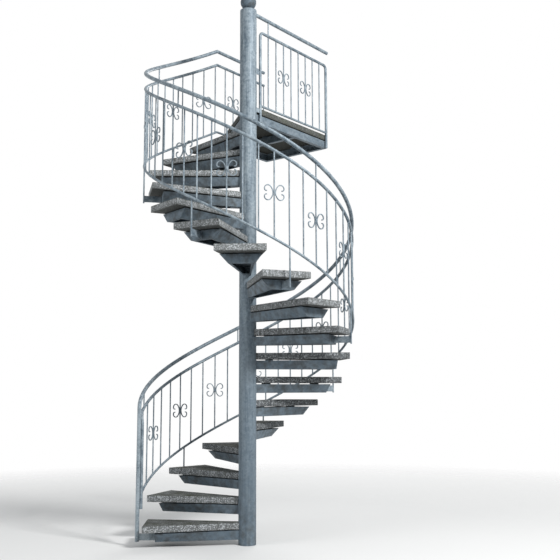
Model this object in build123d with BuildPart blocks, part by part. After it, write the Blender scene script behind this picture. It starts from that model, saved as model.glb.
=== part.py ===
"""Outdoor spiral staircase in galvanised steel with stone treads and a small landing.

The stair turns clockwise as it climbs. Its origin is the centre of the pole's foot.
+X runs along the house wall towards the balcony, +Y points at the wall, +Z is up.
All sizes are in millimetres, and angles in degrees.
"""
from build123d import *
from math import atan2, cos, degrees, hypot, radians, sin
import os

# Flight
riser = 205.0
tread_count = 18
tread_turn = 24.92
first_heading = 131.0
first_tread_top = 188.0
rail_radius = 925.0

# Centre pole and its ball
pole_diameter = 152.4
pole_above_handrail = 25.0
cap_rise = 14.0
ball_diameter = 145.0
ball_seat = 4.0

# Stone treads, each a wedge with a straight outer end
slab_thickness = 57.0
tread_to_rail = 56.0
tread_outer_half = 210.0
tread_inner_half = 22.0
pole_joint = 1.5

# Folded sheet carriers under the treads
carrier_gap = 9.0
carrier_depth = 76.0
carrier_sheet = 4.0
carrier_side_inset = 14.0
carrier_end_inset = 100.0
carrier_inner_end = 38.0
carrier_bottom_half = 105.0
carrier_lip = 28.0
carrier_web_end = 160.0
pad_size = 60.0
inner_pad_place = 190.0
outer_pad_inset = 60.0

# Helical rails, the newel that the handrail bends into, and the mid rail's end post beside it
handrail_diameter = 33.7
mid_rail_diameter = 26.9
bottom_rail_diameter = 21.3
handrail_over_tread = 1029.0
handrail_to_mid_rail = 146.0
bottom_rail_over_tread = 172.0
handrail_start = -1.0
lower_rails_start = 4.0
rail_end = 424.5
rail_run_out = 100.0
newel_run_out = 60.0
rail_bend = 60.0
end_post_turn = 27.0
end_post_knee = 20.0
rail_parts = 3

# Balusters, scrolls, support bars and rail links
baluster_diameter = 12.0
baluster_pitch = 7.8
first_baluster = 7.6
bar_sides = 8
weld_gap = 0.2
scroll_every = 3
first_scroll = 2
scroll_bar = 8.0
scroll_rise = 12.0
scroll_stem_radius = 74.0
scroll_stem_turn = 45.0
scroll_bow_radius = 28.0
scroll_bow_turn = 150.0
scroll_tip_radius = 15.0
scroll_tip_turn = 95.0
collar_diameter = 20.0
collar_height = 26.0
support_diameter = 14.0
support_every = 2
gusset_sheet = 5.0
gusset_margin = 10.0
link_every = 3
first_link = 9.3

# Landing
landing_front = -20.0
landing_end = 1200.0
landing_depth = 795.0
slab_pad = 10.0
joist_position = 700.0
frame_height = 72.0
frame_flange = 38.0
frame_sheet = 5.0
panel_post_diameter = 26.9
panel_start = 131.0
panel_corner = 40.0
panel_bars = 8
panel_pitch = 116.0
wall_pitch = 124.0
wall_first_scroll = 1
clip_height = 40.0
clip_thickness = 6.0
upper_clip = 330.0
lower_clip = -33.0

mid_rail_over_tread = handrail_over_tread - handrail_to_mid_rail
tread_reach = rail_radius - tread_to_rail
landing_top = first_tread_top + tread_count * riser
pole_radius = pole_diameter / 2
rise_per_degree = riser / tread_turn
rail_per_degree = hypot(radians(1) * rail_radius, rise_per_degree)
corner_climb = rail_end + rail_run_out / rail_per_degree


def heading(climb):
    """Compass heading of a place, given how far the flight has turned from tread 1."""
    return first_heading - climb


def turned(climb, height):
    """Plane at a height whose x axis points from the pole to a place on the flight."""
    angle = radians(heading(climb))
    return Plane(origin=(0, 0, height), x_dir=(cos(angle), sin(angle), 0), z_dir=(0, 0, 1))


def rail_direction(climb):
    """Direction in which the rails climb at a place. Past rail_end they run straight."""
    angle = radians(heading(min(climb, rail_end)))
    turn = radians(1) * rail_radius
    return Vector(turn * sin(angle), -turn * cos(angle), rise_per_degree).normalized()


def on_rail(climb, over_tread):
    """Point on a rail that runs over_tread above the middle of each tread."""
    place = min(climb, rail_end)
    angle = radians(heading(place))
    height = first_tread_top + over_tread + rise_per_degree * place
    point = Vector(rail_radius * cos(angle), rail_radius * sin(angle), height)
    return point + rail_direction(place) * (climb - place) * rail_per_degree


def tread_top(number):
    return first_tread_top + (number - 1) * riser


def save(piece, name):
    piece.part.label = name
    export_step(piece.part, f"parts/{name}.step")


def rail_corner(over_tread):
    """Mitred corner where a rail turns along the wall and becomes level."""
    return on_rail(corner_climb, over_tread)


# Pole, cap and ball
pole_top = rail_corner(handrail_over_tread).Z + pole_above_handrail

with BuildPart() as pole:
    with BuildSketch(Plane.XY):
        Circle(pole_radius)
    extrude(amount=pole_top)
save(pole, "pole")

cap_radius = (pole_radius**2 + cap_rise**2) / (2 * cap_rise)
with BuildPart() as pole_cap:
    with BuildSketch(Plane.XZ):
        with BuildLine():
            Line((0, pole_top), (pole_radius, pole_top))
            RadiusArc((pole_radius, pole_top), (0, pole_top + cap_rise), -cap_radius)
            Line((0, pole_top + cap_rise), (0, pole_top))
        make_face()
    revolve(axis=Axis.Z)
save(pole_cap, "pole_cap")

ball_centre = pole_top + cap_rise + ball_diameter / 2 - ball_seat
with BuildPart() as ball:
    with Locations((0, 0, ball_centre)):
        Sphere(ball_diameter / 2)
    add(pole_cap.part, mode=Mode.SUBTRACT)
save(ball, "pole_ball")


def wedge(start, reach, inner_half, outer_half):
    """Corners of a wedge, from the pole's side outwards."""
    return [(start, -inner_half), (reach, -outer_half), (reach, outer_half), (start, inner_half)]


# Treads
for number in range(1, tread_count + 1):
    underside = tread_top(number) - slab_thickness
    with BuildPart() as tread:
        with BuildSketch(turned((number - 1) * tread_turn, underside)):
            Polygon(*wedge(0, tread_reach, tread_inner_half, tread_outer_half), align=None)
            Circle(pole_radius + pole_joint, mode=Mode.SUBTRACT)
        extrude(amount=slab_thickness)
    save(tread, f"tread_{number:02d}")


# Carriers
side_slope = (tread_outer_half - tread_inner_half) / tread_reach
carrier_reach = tread_reach - carrier_end_inset
carrier_top_half = tread_inner_half + side_slope * carrier_reach - carrier_side_inset


def carrier_outline(outer_half, shrink, start):
    """Corners of a carrier at one level, drawn in all round by shrink."""
    inner_half = tread_inner_half + side_slope * start
    return wedge(start, carrier_reach - shrink, inner_half - shrink, outer_half - shrink)


def carrier(number):
    """Trough of folded sheet, open below, with a lip round the opening."""
    climb = (number - 1) * tread_turn
    top = tread_top(number) - slab_thickness - carrier_gap
    bottom = top - carrier_depth
    with BuildPart() as trough:
        for shrink, mode in [(0, Mode.ADD), (carrier_sheet, Mode.SUBTRACT)]:
            with BuildSketch(turned(climb, bottom + shrink)):
                Polygon(*carrier_outline(carrier_bottom_half, shrink, carrier_inner_end), align=None)
            with BuildSketch(turned(climb, top - shrink)):
                Polygon(*carrier_outline(carrier_top_half, shrink, carrier_inner_end), align=None)
            loft(ruled=True, mode=mode)
        with BuildSketch(turned(climb, bottom)):
            Polygon(*carrier_outline(carrier_bottom_half, carrier_lip, carrier_web_end), align=None)
        extrude(amount=carrier_sheet, mode=Mode.SUBTRACT)
        with BuildSketch(turned(climb, top)):
            with Locations((inner_pad_place, 0), (carrier_reach - outer_pad_inset, 0)):
                Rectangle(pad_size, pad_size)
        extrude(amount=carrier_gap)
        with BuildSketch(Plane.XY.offset(bottom)):
            Circle(pole_radius)
        extrude(amount=carrier_depth + carrier_gap, mode=Mode.SUBTRACT)
    return trough.part


def part_of_flight(index, count):
    """First and last number of one of three equal stretches."""
    size = count // rail_parts
    return index * size, (index + 1) * size


stretch_names = ["lower", "middle", "upper"]
for index, stretch in enumerate(stretch_names):
    first, last = part_of_flight(index, tread_count)
    with BuildPart() as carriers:
        for number in range(first + 1, last + 1):
            add(carrier(number))
    save(carriers, f"tread_carriers_{stretch}")


# Rails
helix_pitch = 360 * rise_per_degree
rail_stretch = (rail_end - handrail_start) / rail_parts


def helical_rail(start, end, over_tread, diameter):
    """Tube that follows the flight between two places."""
    foot = on_rail(start, over_tread)
    rise = rise_per_degree * (end - start)
    with BuildLine() as path:
        Helix(pitch=helix_pitch, height=rise, radius=rail_radius, lefthand=True)
    route = path.line.moved(turned(start, foot.Z).location)
    with BuildPart() as tube:
        with BuildSketch(Plane(origin=route @ 0, z_dir=route % 0)):
            Circle(diameter / 2)
        sweep(path=route, is_frenet=True)
    return tube.part


def level_end(over_tread, diameter):
    """Mitred corner of a rail, and its level run along the wall to the balcony."""
    corner = rail_corner(over_tread)
    with BuildLine() as path:
        Polyline(on_rail(rail_end, over_tread), corner, (landing_end, corner.Y, corner.Z))
    with BuildPart() as tube:
        with BuildSketch(Plane(origin=path.line @ 0, z_dir=path.line % 0)):
            Circle(diameter / 2)
        sweep(path=path.line, transition=Transition.RIGHT)
    return tube.part


def bent_tube(points, diameter):
    """Round tube along straight runs joined by smooth bends."""
    with BuildLine() as path:
        FilletPolyline(*points, radius=rail_bend)
    with BuildPart() as tube:
        with BuildSketch(Plane(origin=path.line @ 0, z_dir=path.line % 0)):
            Circle(diameter / 2)
        sweep(path=path.line)
    return tube.part


newel_start = on_rail(handrail_start, handrail_over_tread)
newel_top = newel_start - rail_direction(handrail_start) * newel_run_out
newel_foot = first_tread_top - slab_thickness - carrier_gap - carrier_depth
inward = Vector(-newel_top.X, -newel_top.Y, 0).normalized()
end_post_distance = (handrail_diameter + mid_rail_diameter) / 2 + weld_gap
end_post = newel_top + inward.rotate(Axis.Z, end_post_turn) * end_post_distance


def lower_knee(over_tread):
    """Place where a lower rail leaves the line of the flight for the end post."""
    return on_rail(lower_rails_start, over_tread) - rail_direction(lower_rails_start) * end_post_knee


def end_post_corner(over_tread):
    """Place where a lower rail meets the end post's centre line."""
    knee = lower_knee(over_tread)
    level_run = hypot(knee.X - end_post.X, knee.Y - end_post.Y)
    drop = level_run * rise_per_degree / (radians(1) * rail_radius)
    return Vector(end_post.X, end_post.Y, knee.Z - drop)


def mid_rail_end():
    """Lower end of the mid rail, bent down beside the newel to just below the bottom rail's end."""
    foot = end_post_corner(bottom_rail_over_tread) - Vector(0, 0, bottom_rail_diameter)
    corner = end_post_corner(mid_rail_over_tread)
    start = on_rail(lower_rails_start, mid_rail_over_tread)
    return bent_tube([foot, corner, lower_knee(mid_rail_over_tread), start], mid_rail_diameter)


def bottom_rail_end():
    """Lower end of the bottom rail, cut plumb against the end post."""
    knee = lower_knee(bottom_rail_over_tread)
    corner = end_post_corner(bottom_rail_over_tread)
    level_run = Vector(knee.X - corner.X, knee.Y - corner.Y, 0).normalized()
    seat = corner + level_run * (mid_rail_diameter / 2 + weld_gap)
    start = on_rail(lower_rails_start, bottom_rail_over_tread)
    with BuildPart() as tube:
        add(bent_tube([corner, knee, start], bottom_rail_diameter))
        split(bisect_by=Plane(origin=seat, z_dir=level_run), keep=Keep.TOP)
    return tube.part


rails = [
    ("handrail", handrail_over_tread, handrail_diameter, handrail_start),
    ("mid_rail", mid_rail_over_tread, mid_rail_diameter, lower_rails_start),
    ("bottom_rail", bottom_rail_over_tread, bottom_rail_diameter, lower_rails_start),
]
for rail_name, over_tread, diameter, lowest in rails:
    for index, stretch in enumerate(stretch_names):
        start = handrail_start + index * rail_stretch
        with BuildPart() as rail:
            add(helical_rail(max(start, lowest), start + rail_stretch, over_tread, diameter))
            if index == 0 and rail_name == "mid_rail":
                add(mid_rail_end())
            if index == 0 and rail_name == "bottom_rail":
                add(bottom_rail_end())
            if index == rail_parts - 1:
                add(level_end(over_tread, diameter))
        save(rail, f"{rail_name}_{stretch}")


def end_gusset(across, reach):
    """Plate from the end of a carrier that points along +X out to an upright."""
    with BuildPart() as plate:
        with BuildSketch(Plane.XZ.offset(-across)):
            with Locations(((carrier_reach + weld_gap + reach) / 2, carrier_depth / 2)):
                Rectangle(reach - carrier_reach - weld_gap, carrier_depth - 2 * gusset_margin)
        extrude(amount=gusset_sheet / 2, both=True)
    return plate.part


newel_plan = turned(0, newel_foot).to_local_coords(Vector(newel_top.X, newel_top.Y, newel_foot))
with BuildPart() as newel_post:
    add(bent_tube([Vector(newel_top.X, newel_top.Y, newel_foot), newel_top, newel_start], handrail_diameter))
    add(end_gusset(newel_plan.Y, newel_plan.X).moved(turned(0, newel_foot).location))
save(newel_post, "newel_post")


# Uprights between the rails
def rail_square(climb):
    """Direction square to the rails and upwards, in the plane that they lie in there."""
    along = rail_direction(climb)
    level = Vector(along.Y, -along.X, 0)
    return level.cross(along).normalized()


def upright(low, high, square, diameter):
    """Round bar between two seats, its ends cut to the slope of the rails."""
    spare = diameter
    with BuildPart() as bar:
        with BuildSketch(Plane(origin=low - Vector(0, 0, spare))):
            RegularPolygon(diameter / 2, bar_sides)
        extrude(amount=high.Z - low.Z + 2 * spare)
        split(bisect_by=Plane(origin=low, z_dir=square), keep=Keep.TOP)
        split(bisect_by=Plane(origin=high, z_dir=square), keep=Keep.BOTTOM)
    return bar.part


def seat_over(climb, over_tread, rail_diameter):
    """Point on an upright's axis where it stands on a rail."""
    plumb_gap = (rail_diameter / 2 + weld_gap) / rail_square(climb).Z
    return on_rail(climb, over_tread) + Vector(0, 0, plumb_gap)


def seat_under(climb, over_tread, rail_diameter):
    """Point on an upright's axis where it meets the underside of a rail."""
    plumb_gap = (rail_diameter / 2 + weld_gap) / rail_square(climb).Z
    return on_rail(climb, over_tread) - Vector(0, 0, plumb_gap)


def baluster(climb):
    low = seat_over(climb, bottom_rail_over_tread, bottom_rail_diameter)
    high = seat_under(climb, mid_rail_over_tread, mid_rail_diameter)
    return upright(low, high, rail_square(climb), baluster_diameter)


def link(climb):
    low = seat_over(climb, mid_rail_over_tread, mid_rail_diameter)
    high = seat_under(climb, handrail_over_tread, handrail_diameter)
    return upright(low, high, rail_square(climb), baluster_diameter)


def stretch_of(climb):
    """Number of the rail stretch that a place belongs to."""
    return min(int((climb - handrail_start) / rail_stretch), rail_parts - 1)


baluster_count = int((corner_climb - first_baluster) / baluster_pitch) + 1
baluster_climbs = [first_baluster + number * baluster_pitch for number in range(baluster_count)]
for index, stretch in enumerate(stretch_names):
    with BuildPart() as balusters:
        for climb in baluster_climbs:
            if stretch_of(climb) == index:
                add(baluster(climb))
    save(balusters, f"balusters_{stretch}")

link_count = int((rail_end - first_link) / (link_every * tread_turn)) + 1
with BuildPart() as links:
    for number in range(link_count):
        add(link(first_link + number * link_every * tread_turn))
save(links, "rail_links")


# Scrolls
stem_offset = baluster_diameter / 2 + weld_gap + scroll_bar / 2
with BuildLine(Plane.XZ) as curl_path:
    stem = JernArc((stem_offset, 0), (0, 1), scroll_stem_radius, -scroll_stem_turn)
    bow = JernArc(stem @ 1, stem % 1, scroll_bow_radius, -scroll_bow_turn)
    JernArc(bow @ 1, bow % 1, scroll_tip_radius, -scroll_tip_turn)
with BuildPart() as scroll:
    with BuildSketch(Plane(origin=curl_path.line @ 0, z_dir=curl_path.line % 0)):
        Rectangle(scroll_bar, scroll_bar)
    sweep(path=curl_path.line)
    mirror(about=Plane.YZ)
    mirror(about=Plane.XY)
    with BuildSketch(Plane.XY.offset(-collar_height / 2)):
        Circle(collar_diameter / 2)
    extrude(amount=collar_height)
    with BuildSketch(Plane.XY.offset(-collar_height / 2)):
        Circle(baluster_diameter / 2 + weld_gap)
    extrude(amount=collar_height, mode=Mode.SUBTRACT)


def scroll_place(climb):
    """Location of a scroll on its baluster, its width along the rails."""
    low = on_rail(climb, bottom_rail_over_tread)
    middle = (mid_rail_over_tread - bottom_rail_over_tread) / 2 + scroll_rise
    along = rail_direction(climb)
    return Location((low.X, low.Y, low.Z + middle), (0, 0, degrees(atan2(along.Y, along.X))))


for index, stretch in enumerate(stretch_names):
    with BuildPart() as scrolls:
        for climb in baluster_climbs[first_scroll::scroll_every]:
            if stretch_of(climb) == index:
                add(scroll.part.moved(scroll_place(climb)))
    save(scrolls, f"scrolls_{stretch}")


# Supports from the bottom rail to the carriers
def support(number):
    """Bar that hangs from the bottom rail, with a gusset to the carrier's end."""
    climb = (number - 1) * tread_turn
    bottom = tread_top(number) - slab_thickness - carrier_gap - carrier_depth
    high = seat_under(climb, bottom_rail_over_tread, bottom_rail_diameter)
    with BuildPart() as bar:
        with BuildSketch(turned(climb, bottom)):
            with Locations((rail_radius, 0)):
                RegularPolygon(support_diameter / 2, bar_sides)
        extrude(amount=high.Z - bottom + support_diameter)
        split(bisect_by=Plane(origin=high, z_dir=rail_square(climb)), keep=Keep.BOTTOM)
        add(end_gusset(0, rail_radius).moved(turned(climb, bottom).location))
    return bar.part


with BuildPart() as supports:
    for number in range(1 + support_every, tread_count + 1, support_every):
        add(support(number))
save(supports, "support_bars")


# Landing slab and frame
edge_heading = heading(tread_count * tread_turn)
edge_turn = degrees(atan2(tread_outer_half - tread_inner_half, tread_reach))
edge_direction = Vector(1, 0, 0).rotate(Axis.Z, edge_heading + edge_turn)
edge_start = Vector(0, tread_inner_half, 0).rotate(Axis.Z, edge_heading)
landing_back = landing_front + landing_depth
edge_length = (landing_back - edge_start.Y) / edge_direction.Y
edge_end = edge_start + edge_direction * edge_length
landing_corners = [
    (0, landing_front),
    (landing_end, landing_front),
    (landing_end, landing_back),
    (edge_end.X, edge_end.Y),
    (edge_start.X, edge_start.Y),
]
slab_underside = landing_top - slab_thickness
frame_bottom = slab_underside - slab_pad - frame_height

with BuildPart() as landing_slab:
    with BuildSketch(Plane.XY.offset(slab_underside)):
        Polygon(*landing_corners, align=None)
        Circle(pole_radius + pole_joint, mode=Mode.SUBTRACT)
    extrude(amount=slab_thickness)
save(landing_slab, "landing_slab")

with BuildPart() as landing_frame:
    for level, height, width in [
        (frame_bottom, frame_sheet, frame_flange),
        (frame_bottom, frame_height, frame_sheet),
        (frame_bottom + frame_height - frame_sheet, frame_sheet, frame_flange),
    ]:
        with BuildSketch(Plane.XY.offset(level)):
            outline = Polygon(*landing_corners, align=None)
            offset(outline, amount=-width, kind=Kind.INTERSECTION, mode=Mode.SUBTRACT)
        extrude(amount=height)
    with BuildSketch(Plane.XY.offset(frame_bottom)):
        with Locations((joist_position, (landing_front + landing_back) / 2)):
            Rectangle(frame_flange, landing_depth - frame_sheet)
    extrude(amount=frame_height)
    with BuildSketch(Plane.XY.offset(frame_bottom + frame_height)):
        with Locations((joist_position, (landing_front + landing_back) / 2)):
            Rectangle(frame_flange, pad_size)
        with Locations((pad_size + pole_diameter, landing_front + frame_flange)):
            Rectangle(pad_size, frame_flange)
        with Locations((landing_end - frame_flange, (landing_front + landing_back) / 2)):
            Rectangle(frame_flange, pad_size)
    extrude(amount=slab_pad)
    with BuildSketch(Plane.XY.offset(frame_bottom)):
        Circle(pole_radius)
    extrude(amount=frame_height + slab_pad, mode=Mode.SUBTRACT)
save(landing_frame, "landing_frame")


# Landing railing
panel_line = landing_front - panel_post_diameter / 2 - weld_gap
panel_top = rail_corner(mid_rail_over_tread).Z
panel_bottom = rail_corner(bottom_rail_over_tread).Z
panel_end = panel_start + (panel_bars + 1) * panel_pitch
with BuildLine(Plane.XZ.offset(-panel_line)) as panel_path:
    FilletPolyline(
        (panel_start, frame_bottom),
        (panel_start, panel_top),
        (panel_end, panel_top),
        (panel_end, frame_bottom),
        radius=panel_corner,
    )
with BuildPart() as panel_frame:
    with BuildSketch(Plane(origin=panel_path.line @ 0, z_dir=(0, 0, 1))):
        Circle(panel_post_diameter / 2)
    sweep(path=panel_path.line)
    with BuildSketch(Plane.YZ.offset(panel_start)):
        with Locations((panel_line, panel_bottom)):
            Circle(bottom_rail_diameter / 2)
    extrude(amount=panel_end - panel_start)
save(panel_frame, "landing_panel_frame")

UP = Vector(0, 0, 1)


def level_upright(along, across, low, high):
    """Plumb bar between two seats on level rails."""
    return upright(Vector(along, across, low), Vector(along, across, high), UP, baluster_diameter)


def scroll_on(along, across, low, high):
    middle = (low + high) / 2 + scroll_rise
    return scroll.part.moved(Location((along, across, middle)))


handrail_level = rail_corner(handrail_over_tread).Z
wall_corner = rail_corner(bottom_rail_over_tread)
wall_bars = int((landing_end - wall_corner.X) / wall_pitch)
panel_places = [panel_start + (number + 1) * panel_pitch for number in range(panel_bars)]
wall_places = [wall_corner.X + (number + 1) * wall_pitch for number in range(wall_bars)]
bar_low = panel_bottom + bottom_rail_diameter / 2 + weld_gap
panel_link_low = panel_top + panel_post_diameter / 2 + weld_gap
panel_link_high = handrail_level - handrail_diameter / 2 - weld_gap
with BuildPart() as landing_balusters:
    for along in panel_places:
        add(level_upright(along, panel_line, bar_low, panel_top - panel_post_diameter / 2 - weld_gap))
    add(level_upright(panel_places[0], panel_line, panel_link_low, panel_link_high))
    for along in wall_places:
        add(level_upright(along, wall_corner.Y, bar_low, panel_top - mid_rail_diameter / 2 - weld_gap))
save(landing_balusters, "landing_balusters")

with BuildPart() as landing_scrolls:
    for along in panel_places[first_scroll::scroll_every]:
        add(scroll_on(along, panel_line, panel_bottom, panel_top))
    for along in wall_places[wall_first_scroll::scroll_every]:
        add(scroll_on(along, wall_corner.Y, panel_bottom, panel_top))
save(landing_scrolls, "landing_scrolls")

with BuildPart() as landing_handrail:
    with BuildSketch(Plane.YZ):
        with Locations((panel_line, handrail_level)):
            Circle(handrail_diameter / 2)
    extrude(amount=landing_end)
    with BuildSketch(Plane.XY):
        Circle(pole_radius)
    extrude(amount=pole_top, mode=Mode.SUBTRACT)
save(landing_handrail, "landing_handrail")

with BuildPart() as clips:
    for height in (lower_clip, upper_clip):
        with BuildSketch(Plane.YZ):
            with Locations((panel_line, landing_top + height)):
                Rectangle(clip_thickness, clip_height)
        extrude(amount=panel_start - panel_post_diameter / 2 - weld_gap)
    with BuildSketch(Plane.XY):
        Circle(pole_radius)
    extrude(amount=pole_top, mode=Mode.SUBTRACT)
save(clips, "pole_clips")
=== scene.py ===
"""Looks of the outdoor spiral staircase: washed stone treads on folded zinc-coated carriers.

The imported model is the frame. Round bars, weld beads, softened stone and folded edges are
made here round its solids, and every surface gets a finish built from nodes.
Lengths are in metres. The flight climbs clockwise round a pole that stands on the origin.
"""
import math

import bmesh
import bpy
import numpy as np
from mathutils import Matrix, Vector, noise


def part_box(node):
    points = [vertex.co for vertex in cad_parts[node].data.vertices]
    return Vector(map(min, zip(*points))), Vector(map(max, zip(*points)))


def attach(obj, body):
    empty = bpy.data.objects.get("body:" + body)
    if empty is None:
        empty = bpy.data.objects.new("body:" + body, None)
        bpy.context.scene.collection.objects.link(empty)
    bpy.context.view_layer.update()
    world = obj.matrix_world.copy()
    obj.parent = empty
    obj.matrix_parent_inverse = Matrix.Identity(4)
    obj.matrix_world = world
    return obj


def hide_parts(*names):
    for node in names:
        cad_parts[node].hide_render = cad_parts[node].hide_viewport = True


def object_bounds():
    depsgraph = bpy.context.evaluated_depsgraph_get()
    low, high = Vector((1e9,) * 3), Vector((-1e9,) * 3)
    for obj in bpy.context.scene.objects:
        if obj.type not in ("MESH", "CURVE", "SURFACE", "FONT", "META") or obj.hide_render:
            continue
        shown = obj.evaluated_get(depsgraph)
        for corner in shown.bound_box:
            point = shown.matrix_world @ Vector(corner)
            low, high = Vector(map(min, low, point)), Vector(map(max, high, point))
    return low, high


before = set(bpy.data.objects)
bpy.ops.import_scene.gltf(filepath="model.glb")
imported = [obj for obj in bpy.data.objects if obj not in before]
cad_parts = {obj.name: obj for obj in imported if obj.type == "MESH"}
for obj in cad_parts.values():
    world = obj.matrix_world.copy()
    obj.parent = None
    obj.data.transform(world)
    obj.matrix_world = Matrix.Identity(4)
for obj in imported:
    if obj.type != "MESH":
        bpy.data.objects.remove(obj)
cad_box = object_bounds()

bl_info = {
    "name": "Spiral Staircase Dressing",
    "version": (1, 0, 0),
    "blender": (4, 5, 0),
    "location": "3D View > Sidebar > Staircase",
    "description": "Finishes, weld beads and softened edges for an outdoor spiral staircase",
    "category": "Object",
}

TREADS = sorted(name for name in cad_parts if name.startswith(("tread_0", "tread_1")))
STRETCHES = ("lower", "middle", "upper")
RAILS = [f"{rail}_{part}" for rail in ("handrail", "mid_rail", "bottom_rail") for part in STRETCHES]
LONGEST_LINK = 0.3

UP = Vector((0, 0, 1))
ALONG_LANDING = Vector((1, 0, 0))

# Heights over the ground between which a finish changes
# Between the first two heights the painted shade on the zinc changes, darker towards the bottom on the
# pole
ZINC_SHADE_HEIGHTS = (0.5, 3.6)
# Painted light: between these heights the painted shade of the lower treads eases off towards the foot
LIT_FOOT_HEIGHTS = (0.30, 0.75)
# Painted shade: the stone darkens below these heights
SHADED_TREAD_HEIGHTS = (1.5, 2.45)
STAINED_EDGES = (2.5, 3.0)

# Heights over a tread's underside between which its sides change
DARK_EDGE = (0.022, 0.044)
MOSSY_EDGE = (0.062, 0.078)

# Stones and grains in a metre of tread
STONES = 124.0
GRAINS = 290.0

# Limits for work on the meshes
SAME_POINT = 1e-6
ON_CUT = 1e-5
SAME_LEVEL = 1e-4
FLAT_ANGLE = math.radians(1)
SHARP_ANGLE = math.radians(30)
SMOOTH_ANGLE = math.radians(40)


def tread_top(name):
    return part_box(name)[1].z


RISER = (tread_top(TREADS[-1]) - tread_top(TREADS[0])) / (len(TREADS) - 1)


class StairSizes(bpy.types.PropertyGroup):
    """Sizes of what is made round the frame."""

    tread_turn: bpy.props.FloatProperty(
        name="Turn per tread", description="Angle from one tread to the next",
        default=math.radians(24.92), subtype="ANGLE",
    )
    handrail_diameter: bpy.props.FloatProperty(
        name="Handrail", description="Outside diameter of the handrail and the newel",
        default=0.0337, unit="LENGTH",
    )
    mid_rail_diameter: bpy.props.FloatProperty(
        name="Middle rail", description="Outside diameter of the second rail and the landing panel",
        default=0.0269, unit="LENGTH",
    )
    bottom_rail_diameter: bpy.props.FloatProperty(
        name="Bottom rail", description="Outside diameter of the rail at the foot of the balusters",
        default=0.0213, unit="LENGTH",
    )
    baluster_diameter: bpy.props.FloatProperty(
        name="Baluster", description="Diameter of the round bars between the rails",
        default=0.012, unit="LENGTH",
    )
    scroll_rounding: bpy.props.FloatProperty(
        name="Scroll edge", description="Rounding of the edges of the scrolls and their collars",
        default=0.0022, unit="LENGTH",
    )
    weld_bead: bpy.props.FloatProperty(
        name="Weld bead", description="Radius of the bead round the end of a bar",
        default=0.0022, unit="LENGTH",
    )
    carrier_bead: bpy.props.FloatProperty(
        name="Carrier bead", description="Radius of the bead between a carrier and the pole",
        default=0.003, unit="LENGTH",
    )
    stone_arris: bpy.props.FloatProperty(
        name="Stone edge", description="Rounding of the edges of the stone treads",
        default=0.0035, unit="LENGTH",
    )
    stone_grid: bpy.props.FloatProperty(
        name="Stone grid", description="Length of the faces that the stone's surface is divided into",
        default=0.03, unit="LENGTH",
    )
    stone_wear: bpy.props.FloatProperty(
        name="Stone wear", description="Deepest hollow that the weather has left in the stone",
        default=0.0012, unit="LENGTH",
    )
    fold_radius: bpy.props.FloatProperty(
        name="Fold", description="Outside radius of the folds in the sheet carriers",
        default=0.003, unit="LENGTH",
    )


class StairColours(bpy.types.PropertyGroup):
    """Colours of the finishes."""

    zinc_light: bpy.props.FloatVectorProperty(
        name="Bright zinc", description="Zinc coating where it is fresh",
        subtype="COLOR", size=4, min=0, max=1, default=(0.33, 0.39, 0.43, 1),
    )
    # Also the colour that the painted shade on the zinc tends to
    zinc_dark: bpy.props.FloatVectorProperty(
        name="Dull zinc", description="Zinc coating where it has weathered",
        subtype="COLOR", size=4, min=0, max=1, default=(0.102, 0.139, 0.173, 1),
    )
    # Also painted shade, on the carriers under the treads and on the ball
    zinc_grime_and_shade: bpy.props.FloatVectorProperty(
        name="Grime", description="Dirt on the zinc, most of it near the ground and under the treads",
        subtype="COLOR", size=4, min=0, max=1, default=(0.06, 0.058, 0.05, 1),
    )
    cement: bpy.props.FloatVectorProperty(
        name="Cement", description="Matrix between the stones of a tread",
        subtype="COLOR", size=4, min=0, max=1, default=(0.205, 0.216, 0.216, 1),
    )
    chip_dark: bpy.props.FloatVectorProperty(
        name="Dark stones", description="Darkest stones in a tread",
        subtype="COLOR", size=4, min=0, max=1, default=(0.03, 0.031, 0.034, 1),
    )
    chip_grey: bpy.props.FloatVectorProperty(
        name="Grey stones", description="Stones between the dark and the pale ones",
        subtype="COLOR", size=4, min=0, max=1, default=(0.138, 0.144, 0.152, 1),
    )
    chip_pale: bpy.props.FloatVectorProperty(
        name="Pale stones", description="Commonest stones in a tread",
        subtype="COLOR", size=4, min=0, max=1, default=(0.435, 0.457, 0.470, 1),
    )
    chip_light: bpy.props.FloatVectorProperty(
        name="Light stones", description="Lightest stones in a tread",
        subtype="COLOR", size=4, min=0, max=1, default=(0.765, 0.80, 0.82, 1),
    )
    # Painted shade: tint that darkens the stone of the lower treads
    painted_shade: bpy.props.FloatVectorProperty(
        name="Damp", description="Tint that damp gives the stone of the lower treads",
        subtype="COLOR", size=4, min=0, max=1, default=(0.31, 0.32, 0.345, 1),
    )
    moss: bpy.props.FloatVectorProperty(
        name="Moss", description="Growth on the top and the upper edges of the treads",
        subtype="COLOR", size=4, min=0, max=1, default=(0.036, 0.040, 0.020, 1),
    )
    # Also painted shade on the underside of the treads
    soil_and_shade: bpy.props.FloatVectorProperty(
        name="Soil", description="Dark film on the top and the underside of the treads",
        subtype="COLOR", size=4, min=0, max=1, default=(0.042, 0.043, 0.038, 1),
    )
    floor: bpy.props.FloatVectorProperty(
        name="Floor", description="Pale floor under the staircase",
        subtype="COLOR", size=4, min=0, max=1, default=(0.80, 0.80, 0.79, 1),
    )
    floor_cloud: bpy.props.FloatVectorProperty(
        name="Floor clouds", description="Colour that the faint clouds on the floor tend to",
        subtype="COLOR", size=4, min=0, max=1, default=(0.72, 0.72, 0.71, 1),
    )
    room: bpy.props.FloatVectorProperty(
        name="Room tint", description="Colour of the even light of the room",
        subtype="COLOR", size=4, min=0, max=1, default=(0.90, 0.95, 1.0, 1),
    )


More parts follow.
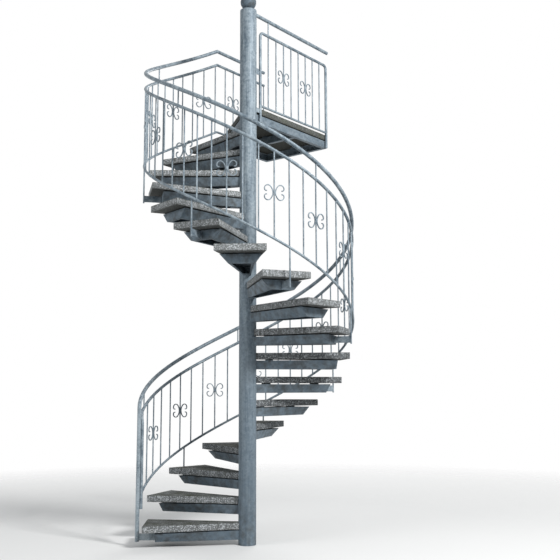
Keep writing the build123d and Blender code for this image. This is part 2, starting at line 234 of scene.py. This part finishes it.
class StairView(bpy.types.PropertyGroup):
    """Camera, lamps and floor."""

    camera_place: bpy.props.FloatVectorProperty(
        name="Camera", description="Place of the camera",
        subtype="TRANSLATION", size=3, default=(-5.470, -4.738, 1.307),
    )
    camera_aim: bpy.props.FloatVectorProperty(
        name="Aim", description="Direction in which the camera looks",
        subtype="DIRECTION", size=3, default=(0.7743, 0.6190, 0.1316),
    )
    camera_roll: bpy.props.FloatProperty(
        name="Roll", description="Turn of the camera about its own axis",
        default=math.radians(-0.17), subtype="ANGLE",
    )
    lens: bpy.props.FloatProperty(
        name="Lens", description="Focal length for a sensor 36 mm wide",
        default=52.93, subtype="DISTANCE_CAMERA",
    )
    key_power: bpy.props.FloatProperty(
        name="Main lamp", description="Power of the main lamp",
        default=940, subtype="POWER",
    )
    key_width: bpy.props.FloatProperty(
        name="Main lamp width", description="Diameter of the main lamp",
        default=2.0, unit="LENGTH",
    )
    side_power: bpy.props.FloatProperty(
        name="Side lamp", description="Power of the lamp that softens the shadows",
        default=130, subtype="POWER",
    )
    back_power: bpy.props.FloatProperty(
        name="Back lamp", description="Power of the lamp behind the staircase",
        default=260, subtype="POWER",
    )
    soft_width: bpy.props.FloatProperty(
        name="Soft lamp width", description="Diameter of the side lamp and the back lamp",
        default=4.0, unit="LENGTH",
    )
    room_light: bpy.props.FloatProperty(
        name="Room light", description="Strength of the even light of the room",
        default=0.25,
    )
    floor_reach: bpy.props.FloatProperty(
        name="Floor", description="Radius of the floor before it fades into the backdrop",
        default=3.0, unit="LENGTH",
    )


def sizes():
    return bpy.context.scene.stair_sizes


def colours():
    return bpy.context.scene.stair_colours


class Value:
    """One output of a node, which Python's operators do sums on."""

    def __init__(self, owner, socket):
        self.owner = owner
        self.socket = socket

    def sum_of(self, operation, first, second):
        return self.owner.node("ShaderNodeMath", {"operation": operation}, {0: first, 1: second})

    def __add__(self, other):
        return self.sum_of("ADD", self, other)

    def __radd__(self, other):
        return self.sum_of("ADD", other, self)

    def __sub__(self, other):
        return self.sum_of("SUBTRACT", self, other)

    def __rsub__(self, other):
        return self.sum_of("SUBTRACT", other, self)

    def __mul__(self, other):
        return self.sum_of("MULTIPLY", self, other)

    def __rmul__(self, other):
        return self.sum_of("MULTIPLY", other, self)


class Nodes:
    """A tree that is filled one node at a time."""

    def __init__(self, tree):
        self.tree = tree
        tree.nodes.clear()

    def node(self, kind, settings=None, sockets=None, output=0):
        """Adds a node, sets it up, fills its sockets, and gives one of its outputs."""
        made = self.tree.nodes.new(kind)
        for key, value in (settings or {}).items():
            if key == "stops":
                elements = made.color_ramp.elements
                while len(elements) < len(value):
                    elements.new(1.0)
                for element, (position, colour) in zip(elements, value):
                    element.position = position
                    element.color = colour
            else:
                setattr(made, key, value)
        for key, value in (sockets or {}).items():
            if isinstance(value, Value):
                self.tree.links.new(value.socket, made.inputs[key])
            else:
                made.inputs[key].default_value = value
        return Value(self, made.outputs[output]) if made.outputs else None


class Finish(Nodes):
    """A material and the nodes that make it."""

    def __init__(self, name):
        self.material = bpy.data.materials.new(name)
        self.material.use_nodes = True
        super().__init__(self.material.node_tree)

    def place(self, scale=(1, 1, 1)):
        """Place on the object, stretched by a scale."""
        spot = self.node("ShaderNodeTexCoord", output="Object")
        return self.node("ShaderNodeMapping", sockets={"Vector": spot, "Scale": scale})

    def upward(self, vector):
        """Height part of a vector."""
        return self.node("ShaderNodeSeparateXYZ", sockets={"Vector": vector}, output="Z")

    def noise(self, spot, scale, detail=4.0, roughness=0.55):
        """Soft random pattern between 0 and 1."""
        return self.node("ShaderNodeTexNoise", {"noise_dimensions": "3D"}, {
            "Vector": spot, "Scale": scale, "Detail": detail, "Roughness": roughness,
        })

    def cells(self, spot, scale, output):
        """Random cells: the Color of each, or the Distance from its middle."""
        return self.node("ShaderNodeTexVoronoi", {"feature": "F1"}, {
            "Vector": spot, "Scale": scale, "Randomness": 1.0,
        }, output=output)

    def grey(self, colour):
        """First part of a colour, as one number."""
        return self.node("ShaderNodeSeparateColor", sockets={"Color": colour})

    def ramp(self, factor, between, gives=(0.0, 1.0)):
        """Straight change from one value to another while a factor is between two limits."""
        return self.node("ShaderNodeMapRange", {"clamp": True}, {
            "Value": factor, "From Min": between[0], "From Max": between[1],
            "To Min": gives[0], "To Max": gives[1],
        })

    def mix(self, factor, first, second, blend="MIX"):
        """Mix of two colours."""
        return self.node(
            "ShaderNodeMix", {"data_type": "RGBA", "blend_type": blend},
            {0: factor, 6: first, 7: second}, output=2,
        )

    def bump(self, height, strength, distance):
        """Relief of the surface."""
        return self.node("ShaderNodeBump", sockets={
            "Height": height, "Strength": strength, "Distance": distance,
        })

    def surface(self, **sockets):
        """Closes the finish with one shader."""
        named = {key.replace("_", " "): value for key, value in sockets.items()}
        shader = self.node("ShaderNodeBsdfPrincipled", sockets=named)
        self.node("ShaderNodeOutputMaterial", sockets={"Surface": shader})
        return self.material


def zinc(name, spangle, streak, shine, grime_height=0.5, grime_and_shade=0.12,
         shade_share=(0.0, 0.0), metallic=0.15, painted_light=0.0):
    """Hot-dip zinc: grey crystals, cloudy patches, runs down the steel, and dirt.

    spangle is the number of crystals in a metre, streak stretches the runs, and shine is the
    lowest roughness. grime_and_shade is the share of dirty patches from grime_height upwards,
    which on the carriers and the ball is painted shade as well. shade_share gives the share of
    painted shade, in the dark zinc colour, at the heights of ZINC_SHADE_HEIGHTS: darker towards
    the bottom on the pole, all over on the carriers and the ball, and all over on the landing
    frame, where it is partly weathering and partly painted shade. painted_light makes all of
    it lighter, as painted light on the newel.
    """
    finish = Finish(name)
    shade = colours()
    spot = finish.place()
    height = finish.upward(spot)
    crystal = finish.grey(finish.cells(spot, spangle, "Color"))
    cloud = finish.noise(spot, scale=5.5, detail=5.0)
    fine = finish.noise(spot, scale=38.0, detail=3.0)
    runs = finish.noise(finish.place(streak), scale=1.0, roughness=0.6)

    tone = crystal * 0.26 + cloud * 0.50 + fine * 0.30 + runs * 1.15
    # Painted light: a lift of this ramp lightens the whole tone
    bright_share = finish.ramp(tone, (0.84 - painted_light, 1.38 - painted_light))
    fresh = finish.mix(bright_share, shade.zinc_dark, shade.zinc_light)
    # Painted shade: mixes the zinc towards its dark colour by the shares given for the two heights
    base = finish.mix(finish.ramp(height, ZINC_SHADE_HEIGHTS, shade_share), fresh, shade.zinc_dark)

    # Dirty patches, more of them towards the ground; where their share is high, on the carriers and the
    # ball, they are painted shade
    grime_at_ground = 0.75
    patches = finish.ramp(finish.noise(spot, scale=14.0, detail=6.0, roughness=0.65), (0.42, 0.68))
    dirt_and_shade = patches * finish.ramp(height, (0.0, grime_height), (grime_at_ground, grime_and_shade))
    colour = finish.mix(dirt_and_shade, base, shade.zinc_grime_and_shade)

    dullest = shine + 0.22
    rough = finish.ramp(cloud * 0.6 + crystal * 0.4, (0.2, 0.8), (shine, dullest)) + dirt_and_shade * 0.25
    relief = finish.bump(crystal * 0.3 + fine * 0.7, strength=0.25, distance=0.0006)
    return finish.surface(
        Base_Color=colour, Roughness=rough, Metallic=metallic, Specular_IOR_Level=0.25, Normal=relief,
    )


def tube_zinc():
    """Finish that the rails, bars and scrolls share."""
    return bpy.data.materials.get("tube_zinc") or zinc(
        "tube_zinc", spangle=85.0, streak=(16, 16, 12), shine=0.38, grime_height=0.15,
    )


def stones_in_cement(finish, spot, stone, gap, grain):
    """Stones of many greys in cement, with painted shade on the lower treads that eases off at the
    foot.
    """
    shade = colours()
    tone = stone * 0.75 + grain * 0.25
    chips = finish.node("ShaderNodeValToRGB", {"stops": [
        (0.0, tuple(shade.chip_dark)),
        (0.22, tuple(shade.chip_grey)),
        (0.42, tuple(shade.chip_pale)),
        (1.0, tuple(shade.chip_light)),
    ]}, {"Fac": tone})
    ragged_gap = gap + finish.noise(spot, scale=60.0, detail=2.0) * 0.12
    face = finish.mix(finish.ramp(ragged_gap, (0.46, 0.60)), chips, shade.cement)

    height = finish.upward(spot)
    # Painted shade on the lower treads, easing off at the foot, and less on the pale stones
    painted_shade = finish.ramp(height, LIT_FOOT_HEIGHTS, (0.42, 1.0)) * finish.ramp(height, SHADED_TREAD_HEIGHTS, (0.84, 0.0))
    less_on_pale_stones = finish.ramp(tone, (0.52, 0.74), (1.0, 0.35))
    return finish.mix(painted_shade * less_on_pale_stones, face, shade.painted_shade, blend="MULTIPLY")


def soil_and_moss(finish, spot):
    """Dark film with patches of growth."""
    growth = finish.ramp(finish.noise(spot, scale=11.0, detail=6.0, roughness=0.7), (0.40, 0.62))
    return finish.mix(growth, colours().soil_and_shade, colours().moss)


def stained_sides(finish, spot, face, film, stain_and_shade):
    """Drips down the sides, with dark lower and mossy upper edges that show most high up."""
    drips = finish.noise(finish.place((24, 24, 5)), scale=1.0, detail=5.0, roughness=0.7)
    # The least share of film: staining, and on the landing slab partly painted shade
    streaks = finish.ramp(drips, (0.48, 0.74), (stain_and_shade, 0.6 + stain_and_shade * 0.4))
    sides = finish.mix(streaks, face, film)

    height = finish.upward(spot)
    below_underside = 0.002
    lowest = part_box(TREADS[0])[0].z - below_underside
    over_underside = finish.node(
        "ShaderNodeMath", {"operation": "FLOORED_MODULO"}, {0: height - lowest, 1: RISER},
    )
    high_up = finish.ramp(height, STAINED_EDGES, (0.2, 0.65))
    dark_edge = finish.ramp(over_underside + drips * 0.04, DARK_EDGE, (1.0, 0.0)) * high_up
    mossy_edge = finish.ramp(over_underside + drips * 0.03, MOSSY_EDGE, (0.0, 0.8)) * high_up
    sides = finish.mix(dark_edge, sides, colours().soil_and_shade)
    return finish.mix(mossy_edge, sides, colours().moss)


def washed_stone(name, stain_and_shade):
    """Stones set in cement, with a dark film and moss on top, stained sides and painted shade on the
    underside.

    stain_and_shade is the least share of dark film on the sides: staining, which on the landing slab is
    partly painted shade.
    """
    finish = Finish(name)
    spot = finish.place()
    stone = finish.grey(finish.cells(spot, STONES, "Color"))
    gap = finish.cells(spot, STONES, "Distance")
    grain = finish.grey(finish.cells(spot, GRAINS, "Color"))
    face = stones_in_cement(finish, spot, stone, gap, grain)
    film = soil_and_moss(finish, spot)

    patch = finish.noise(spot, scale=7.0, detail=5.0, roughness=0.6)
    top = finish.mix(finish.ramp(patch, (0.34, 0.62), (0.94, 0.50)), face, film)
    sides = stained_sides(finish, spot, face, film, stain_and_shade)
    rise = finish.upward(finish.node("ShaderNodeNewGeometry", output="Normal"))
    # Painted shade: faces that look down are darkened towards the dark film's colour
    facing_down = finish.ramp(rise, (-0.80, -0.35), (0.65, 0.0))
    facing_up = finish.ramp(rise, (0.35, 0.80))
    colour = finish.mix(facing_up, finish.mix(facing_down, sides, colours().soil_and_shade), top)

    domed_stones = finish.ramp(gap, (0.1, 0.6), (1.0, 0.0))
    relief = finish.bump(domed_stones + grain * 0.3, strength=0.55, distance=0.0016)
    rough = finish.ramp(stone, (0.0, 1.0), (0.72, 0.94))
    return finish.surface(Base_Color=colour, Roughness=rough, Specular_IOR_Level=0.15, Normal=relief)


def pale_floor(reach):
    """Faintly clouded floor that fades into the backdrop beyond its reach."""
    shade = colours()
    finish = Finish("pale_floor")
    spot = finish.place()
    clouds = finish.ramp(finish.noise(spot, scale=3.0, detail=3.0), (0.3, 0.7), (0.0, 0.06))
    tone = finish.mix(clouds, shade.floor, shade.floor_cloud)
    plain = finish.node("ShaderNodeBsdfPrincipled", sockets={"Base Color": tone, "Roughness": 0.9})
    gone = finish.node("ShaderNodeBsdfTransparent")
    from_middle = finish.node(
        "ShaderNodeVectorMath", {"operation": "LENGTH"}, {0: spot}, output="Value",
    )
    fade_end = reach * 2.6
    fade = finish.ramp(from_middle, (reach, fade_end))
    both = finish.node("ShaderNodeMixShader", sockets={0: fade, 1: plain, 2: gone})
    finish.node("ShaderNodeOutputMaterial", sockets={"Surface": both})
    return finish.material


def coat(node, material):
    """Gives a node of the frame its finish."""
    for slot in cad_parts[node].material_slots:
        slot.material = material


def mesh_of(node):
    """Copy of a node's mesh, its faces joined at their corners."""
    mesh = bmesh.new()
    mesh.from_mesh(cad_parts[node].data)
    bmesh.ops.remove_doubles(mesh, verts=mesh.verts, dist=SAME_POINT)
    return mesh


def solids_of(node):
    """Corner points of each separate solid of a node."""
    mesh = mesh_of(node)
    waiting = set(mesh.verts)
    found = []
    while waiting:
        group = [waiting.pop()]
        for vertex in group:
            for edge in vertex.link_edges:
                other = edge.other_vert(vertex)
                if other in waiting:
                    waiting.remove(other)
                    group.append(other)
        found.append(np.array([vertex.co[:] for vertex in group]))
    mesh.free()
    return sorted(found, key=lambda points: tuple(points.mean(0).round(4)))


def keep_inside(mesh):
    """Holds every corner of a mesh inside the frame's box."""
    for vertex in mesh.verts:
        limits = zip(vertex.co, *cad_box)
        vertex.co = Vector([min(max(value, low), high) for value, low, high in limits])


def add_object(name, data):
    """Adds an object to the scene."""
    made = bpy.data.objects.new(name, data)
    bpy.context.scene.collection.objects.link(made)
    return made


def add_mesh(name, mesh, material):
    """Adds an object that is made of a mesh, and lets go of the mesh."""
    data = bpy.data.meshes.new(name)
    mesh.to_mesh(data)
    mesh.free()
    data.materials.append(material)
    return add_object(name, data)


def finish_piece(name, mesh, material, slot, *nodes):
    """Adds a piece to the frame, in the place of the nodes that are named."""
    keep_inside(mesh)
    piece = add_mesh(name, mesh, material)
    piece.data.shade_smooth()
    piece.data.set_sharp_from_angle(angle=SMOOTH_ANGLE)
    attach(piece, "root")
    if nodes:
        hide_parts(*nodes)


def softened(node, rounding, steps=2):
    """Copy of a node's solid, in flat faces, with its sharp edges rounded."""
    mesh = mesh_of(node)
    bmesh.ops.dissolve_limit(mesh, angle_limit=FLAT_ANGLE, verts=mesh.verts, edges=mesh.edges)
    sharp = [edge for edge in mesh.edges if edge.is_manifold and edge.calc_face_angle(0) > SHARP_ANGLE]
    bmesh.ops.bevel(
        mesh, geom=sharp, offset=rounding, segments=steps, profile=0.5,
        affect="EDGES", clamp_overlap=True,
    )
    return mesh


def divide(mesh, along, length):
    """Cuts a mesh at even steps along a direction."""
    reach = [vertex.co.dot(along) for vertex in mesh.verts]
    count = int((max(reach) - min(reach)) / length)
    for number in range(1, count + 1):
        spot = along * (min(reach) + number * length)
        geometry = mesh.verts[:] + mesh.edges[:] + mesh.faces[:]
        bmesh.ops.bisect_plane(mesh, geom=geometry, dist=ON_CUT, plane_co=spot, plane_no=along)


def weather(mesh, depth):
    """Hollows the surface a little, never outwards, in waves and smaller ripples."""
    waves = 22
    ripples = 75
    mesh.normal_update()
    moves = []
    for vertex in mesh.verts:
        hollow = noise.noise(vertex.co * waves) * 0.6 + noise.noise(vertex.co * ripples) * 0.4
        moves.append(vertex.normal * (-depth * (0.5 + 0.5 * hollow)))
    for vertex, move in zip(mesh.verts, moves):
        vertex.co += move


def stone_piece(node, along, material):
    """Worn stone in the place of a plain slab, divided along a direction and across it."""
    size = sizes()
    mesh = softened(node, size.stone_arris, steps=3)
    divide(mesh, along, size.stone_grid)
    divide(mesh, UP.cross(along), size.stone_grid)
    weather(mesh, size.stone_wear)
    finish_piece(f"stone_{node}", mesh, material, "washed_stone", node)


def tube(mesh, points, radius, sides=16, closed=False):
    """Adds a round bar or bead along points.

    radius is a number, or a function that gives it for the number of a point.
    """
    count = len(points)
    rings = []
    side = None
    for number, point in enumerate(points):
        before = points[number - 1] if number or closed else point
        after = points[(number + 1) % count] if number + 1 < count or closed else point
        run = (after - before).normalized()
        if side is None:
            side = run.orthogonal().normalized()
        side = (side - run * side.dot(run)).normalized()
        other = run.cross(side)
        size = radius(number) if callable(radius) else radius
        ring = []
        for step in range(sides):
            angle = 2 * math.pi * step / sides
            spoke = side * math.cos(angle) + other * math.sin(angle)
            ring.append(mesh.verts.new(point + spoke * size))
        rings.append(ring)
    pairs = list(zip(rings, rings[1:])) + ([(rings[-1], rings[0])] if closed else [])
    for first, second in pairs:
        for step in range(sides):
            after = (step + 1) % sides
            mesh.faces.new((first[step], first[after], second[after], second[step]))
    if not closed:
        mesh.faces.new(reversed(rings[0]))
        mesh.faces.new(rings[-1])


def bead(mesh, points, radius, swell, start, pace):
    """Adds a closed weld bead along points, which swells and shrinks as it goes."""

    def radius_at(number):
        return radius * (1 + swell * math.sin(start + number * pace))

    tube(mesh, points, radius_at, sides=6, closed=True)


def weld(mesh, end, run, square, rail_radius, bar_radius):
    """Bead where the end of a plumb bar meets a rail that passes over or under it.

    Each of its points lies where a plumb line on the bar's side meets the rail's surface.
    """
    axis = end + square * rail_radius
    rise = UP - run * run.z
    points = []
    steps = 14
    for step in range(steps):
        angle = 2 * math.pi * step / steps
        spot = Vector((
            end.x + bar_radius * math.cos(angle),
            end.y + bar_radius * math.sin(angle),
            end.z,
        ))
        offset = spot - axis
        level = offset - run * offset.dot(run)
        # The plumb line is on the rail's surface where a * drop**2 + b * drop + c is zero
        a = rise.dot(rise)
        b = 2 * level.dot(rise)
        c = level.dot(level) - rail_radius**2
        root = math.sqrt(max(b * b - 4 * a * c, 0))
        drop = (-b - root) / (2 * a) if square.z > 0 else (-b + root) / (2 * a)
        points.append(spot + UP * drop)
    bead(mesh, points, sizes().weld_bead, swell=0.22, start=noise.noise(end * 40) * 3, pace=2.4)


def rail_direction(place):
    """Direction in which the flight's rails climb at a place."""
    radius = math.hypot(place.x, place.y)
    climb = RISER / (sizes().tread_turn * radius)
    level = Vector((place.y, -place.x, 0)) / radius
    return (level + UP * climb).normalized()


def rails_round(length):
    """Radii of the rails under and over a bar, which is a short link or a long baluster."""
    size = sizes()
    if length > LONGEST_LINK:
        return size.bottom_rail_diameter / 2, size.mid_rail_diameter / 2
    return size.mid_rail_diameter / 2, size.handrail_diameter / 2


def bars_of(node):
    """Round bars with welded ends, in the places of the frame's plain ones.

    A bar's ends go into the rails by a share of their radii. The landing's rails are level.
    """
    bar_radius = sizes().baluster_diameter / 2
    share = 0.15
    level = node.startswith("landing")
    mesh = bmesh.new()
    for points in solids_of(node):
        middle = points[:, 2].mean()
        foot = Vector(points[points[:, 2] < middle].mean(0))
        head = Vector(points[points[:, 2] > middle].mean(0))
        run = ALONG_LANDING if level else rail_direction(foot)
        square = UP if level else run.cross(Vector((foot.x, foot.y, 0)).normalized())
        low, high = rails_round(head.z - foot.z)
        tube(mesh, [foot - UP * low * share, head + UP * high * share], bar_radius)
        weld(mesh, foot, run, -square, low, bar_radius)
        weld(mesh, head, run, square, high, bar_radius)
    return mesh


def carrier_bead(mesh, points, pole_radius):
    """Bead round the end of one carrier, where it stands against the pole."""
    widest_gap = 0.0006
    steps = 9
    from_axis = np.hypot(points[:, 0], points[:, 1])
    far = points[from_axis > 3 * pole_radius].mean(0)
    out = Vector((far[0], far[1], 0)).normalized()
    side = UP.cross(out)
    near = [Vector(point) for point in points[from_axis < pole_radius + widest_gap]]

    def half_width(level):
        return max(point.dot(side) for point in near if abs(point.z - level) < SAME_LEVEL)

    bottom = min(point.z for point in near)
    top = max(point.z for point in near)
    low_half = half_width(bottom)
    high_half = half_width(top)
    corners = [(-low_half, bottom), (low_half, bottom), (high_half, top), (-high_half, top)]
    path = []
    for (across, height), (next_across, next_height) in zip(corners, corners[1:] + corners[:1]):
        for step in range(steps):
            share = step / steps
            reach = across + (next_across - across) * share
            depth = math.sqrt(pole_radius**2 - reach**2)
            path.append(out * depth + side * reach + UP * (height + (next_height - height) * share))
    bead(mesh, path, sizes().carrier_bead, swell=0.2, start=bottom * 31, pace=1.9)


class STAIR_OT_pole(bpy.types.Operator):
    """Finish of the pole, its cap, its ball and the clips, and the beads round the pole"""

    bl_idname = "stair.pole"
    bl_label = "Pole"

    def execute(self, context):
        # Painted shade: the pole's zinc is darker towards the bottom
        coating = zinc("pole_zinc", spangle=60.0, streak=(46, 46, 2.2), shine=0.46, shade_share=(0.7, 0.0))
        for node in ("pole", "pole_cap", "pole_clips"):
            coat(node, coating)
        # Painted shade: the ball's zinc is darkened all over, by the dark zinc colour and by dirty
        # patches
        coat("pole_ball", zinc(
            "ball_zinc", spangle=70.0, streak=(20, 20, 14), shine=0.5,
            grime_and_shade=1.0, shade_share=(0.9, 0.9), metallic=0.12,
        ))
        pole_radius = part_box("pole")[1].x
        mesh = bmesh.new()
        for part in STRETCHES:
            for points in solids_of(f"tread_carriers_{part}"):
                carrier_bead(mesh, points, pole_radius)
        finish_piece("carrier_beads", mesh, coating, "galvanised_pole")
        return {"FINISHED"}


class STAIR_OT_treads(bpy.types.Operator):
    """Stone treads and the landing slab, with worn edges"""

    bl_idname = "stair.treads"
    bl_label = "Treads"

    def execute(self, context):
        stone = washed_stone("washed_stone", stain_and_shade=0.0)
        for node in TREADS:
            low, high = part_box(node)
            middle = (low + high) / 2
            stone_piece(node, Vector((middle.x, middle.y, 0)).normalized(), stone)
        # Partly staining and partly painted shade: the landing slab's sides carry more dark film
        stone_piece("landing_slab", ALONG_LANDING, washed_stone("shaded_stone", stain_and_shade=0.75))
        return {"FINISHED"}


class STAIR_OT_carriers(bpy.types.Operator):
    """Folded sheet carriers and the landing's frame"""

    bl_idname = "stair.carriers"
    bl_label = "Carriers"

    def execute(self, context):
        fold = sizes().fold_radius
        # Painted shade: the carriers' zinc is darkened all over, by the dark zinc colour and by dirty
        # patches
        sheet = zinc(
            "sheet_zinc", spangle=50.0, streak=(14, 14, 9), shine=0.46,
            grime_height=1.0, grime_and_shade=0.75, shade_share=(0.8, 0.6), metallic=0.12,
        )
        for part in STRETCHES:
            node = f"tread_carriers_{part}"
            mesh = softened(node, fold)
            finish_piece(f"folded_carriers_{part}", mesh, sheet, "galvanised_sheet", node)
        # Partly weathering and partly painted shade: the landing frame's zinc is darkened all over
        channel = zinc(
            "frame_zinc", spangle=50.0, streak=(9, 30, 16), shine=0.42, grime_and_shade=0.3, shade_share=(0.45, 0.45),
        )
        mesh = softened("landing_frame", fold / 2)
        finish_piece("folded_landing_frame", mesh, channel, "galvanised_sheet", "landing_frame")
        return {"FINISHED"}


class STAIR_OT_rails(bpy.types.Operator):
    """Finish of the rails, the newel and the landing panel"""

    bl_idname = "stair.rails"
    bl_label = "Rails"

    def execute(self, context):
        for node in RAILS + ["landing_panel_frame", "landing_handrail"]:
            coat(node, tube_zinc())
        # Painted light: the newel's zinc is lightened all over
        coat("newel_post", zinc(
            "newel_zinc", spangle=85.0, streak=(16, 16, 4), shine=0.38, grime_height=0.15, painted_light=0.16,
        ))
        return {"FINISHED"}


class STAIR_OT_bars(bpy.types.Operator):
    """Balusters, rail links and landing bars with their weld beads, and the support bars"""

    bl_idname = "stair.bars"
    bl_label = "Bars"

    def execute(self, context):
        for node in [f"balusters_{part}" for part in STRETCHES] + ["rail_links", "landing_balusters"]:
            finish_piece(f"welded_{node}", bars_of(node), tube_zinc(), "galvanised_tube", node)
        rounding = sizes().baluster_diameter / 2 * 0.35
        mesh = softened("support_bars", rounding)
        finish_piece("round_support_bars", mesh, tube_zinc(), "galvanised_tube", "support_bars")
        return {"FINISHED"}


class STAIR_OT_scrolls(bpy.types.Operator):
    """Scrolls and their collars"""

    bl_idname = "stair.scrolls"
    bl_label = "Scrolls"

    def execute(self, context):
        for node in [f"scrolls_{part}" for part in STRETCHES] + ["landing_scrolls"]:
            mesh = softened(node, sizes().scroll_rounding)
            finish_piece(f"forged_{node}", mesh, tube_zinc(), "galvanised_tube", node)
        return {"FINISHED"}


class STAIR_OT_stage(bpy.types.Operator):
    """Pale floor, white backdrop, soft lamps and the camera"""

    bl_idname = "stair.stage"
    bl_label = "Stage"

    def execute(self, context):
        view = context.scene.stair_view
        self.make_camera(context, view)
        self.make_floor(view)
        self.make_world(context, view)
        aim = Vector(view.camera_aim)
        right = aim.cross(UP).normalized()
        ahead = Vector((aim.x, aim.y, 0)).normalized()
        key_place = right * 5.6 - ahead * 5.6 + UP * 6.8
        side_place = right * -6.0 - ahead * 3.0 + UP * 3.5
        back_place = ahead * 7.5 + right * 1.5 + UP * 6.5
        self.make_lamp("key_lamp", key_place, view.key_width, view.key_power)
        self.make_lamp("side_lamp", side_place, view.soft_width, view.side_power)
        self.make_lamp("back_lamp", back_place, view.soft_width, view.back_power)
        context.scene.view_settings.view_transform = "Standard"
        return {"FINISHED"}

    def make_camera(self, context, view):
        camera = bpy.data.cameras.new("camera")
        camera.sensor_width = 36
        camera.lens = view.lens
        camera.clip_end = 200
        forward = Vector(view.camera_aim).normalized()
        right = forward.cross(UP).normalized()
        up = right.cross(forward)
        turn = Matrix.Rotation(view.camera_roll, 3, -forward)
        matrix = Matrix((turn @ right, turn @ up, -forward)).transposed().to_4x4()
        matrix.translation = Vector(view.camera_place)
        holder = add_object("camera", camera)
        holder.matrix_world = matrix
        context.scene.camera = holder

    def make_floor(self, view):
        below_feet = 0.0005
        edge = view.floor_reach * 3
        mesh = bmesh.new()
        bmesh.ops.create_circle(mesh, cap_ends=True, radius=edge, segments=96)
        floor = add_mesh("floor", mesh, pale_floor(view.floor_reach))
        floor.location.z = cad_box[0].z - below_feet

    def make_world(self, context, view):
        world = bpy.data.worlds.new("studio")
        world.use_nodes = True
        tree = Nodes(world.node_tree)
        seen = tree.node("ShaderNodeLightPath", output="Is Camera Ray")
        mirrored = tree.node("ShaderNodeLightPath", output="Is Glossy Ray")
        through = tree.node("ShaderNodeLightPath", output="Is Transmission Ray")
        dim = {"Color": colours().room, "Strength": view.room_light}
        white = {"Color": (1, 1, 1, 1), "Strength": 1.0}
        both = tree.node("ShaderNodeMixShader", sockets={
            0: seen + mirrored + through,
            1: tree.node("ShaderNodeBackground", sockets=dim),
            2: tree.node("ShaderNodeBackground", sockets=white),
        })
        tree.node("ShaderNodeOutputWorld", sockets={"Surface": both})
        context.scene.world = world

    def make_lamp(self, name, place, width, power):
        lamp = bpy.data.lights.new(name, "AREA")
        lamp.shape = "DISK"
        lamp.size = width
        lamp.energy = power
        middle = (cad_box[0] + cad_box[1]) / 2
        holder = add_object(name, lamp)
        holder.location = place
        holder.rotation_mode = "QUATERNION"
        holder.rotation_quaternion = (middle - place).to_track_quat("-Z", "Y")


class STAIR_PT_panel(bpy.types.Panel):
    """Sizes, colours and pieces of the staircase"""

    bl_idname = "STAIR_PT_panel"
    bl_label = "Spiral Staircase"
    bl_space_type = "VIEW_3D"
    bl_region_type = "UI"
    bl_category = "Staircase"

    def draw(self, context):
        layout = self.layout
        for group in (context.scene.stair_sizes, context.scene.stair_colours, context.scene.stair_view):
            box = layout.box()
            for name in group.__annotations__:
                box.prop(group, name)
        for operator in OPERATORS:
            layout.operator(operator.bl_idname)


GROUPS = {"stair_sizes": StairSizes, "stair_colours": StairColours, "stair_view": StairView}
OPERATORS = (
    STAIR_OT_stage,
    STAIR_OT_pole,
    STAIR_OT_treads,
    STAIR_OT_carriers,
    STAIR_OT_rails,
    STAIR_OT_bars,
    STAIR_OT_scrolls,
)


def register():
    for name, group in GROUPS.items():
        bpy.utils.register_class(group)
        setattr(bpy.types.Scene, name, bpy.props.PointerProperty(type=group))
    for made in (*OPERATORS, STAIR_PT_panel):
        bpy.utils.register_class(made)


def unregister():
    for made in (STAIR_PT_panel, *reversed(OPERATORS)):
        bpy.utils.unregister_class(made)
    for name, group in reversed(GROUPS.items()):
        delattr(bpy.types.Scene, name)
        bpy.utils.unregister_class(group)


def main():
    register()
    bpy.ops.stair.stage()
    bpy.ops.stair.pole()
    bpy.ops.stair.treads()
    bpy.ops.stair.carriers()
    bpy.ops.stair.rails()
    bpy.ops.stair.bars()
    bpy.ops.stair.scrolls()


if __name__ == "__main__":
    main()
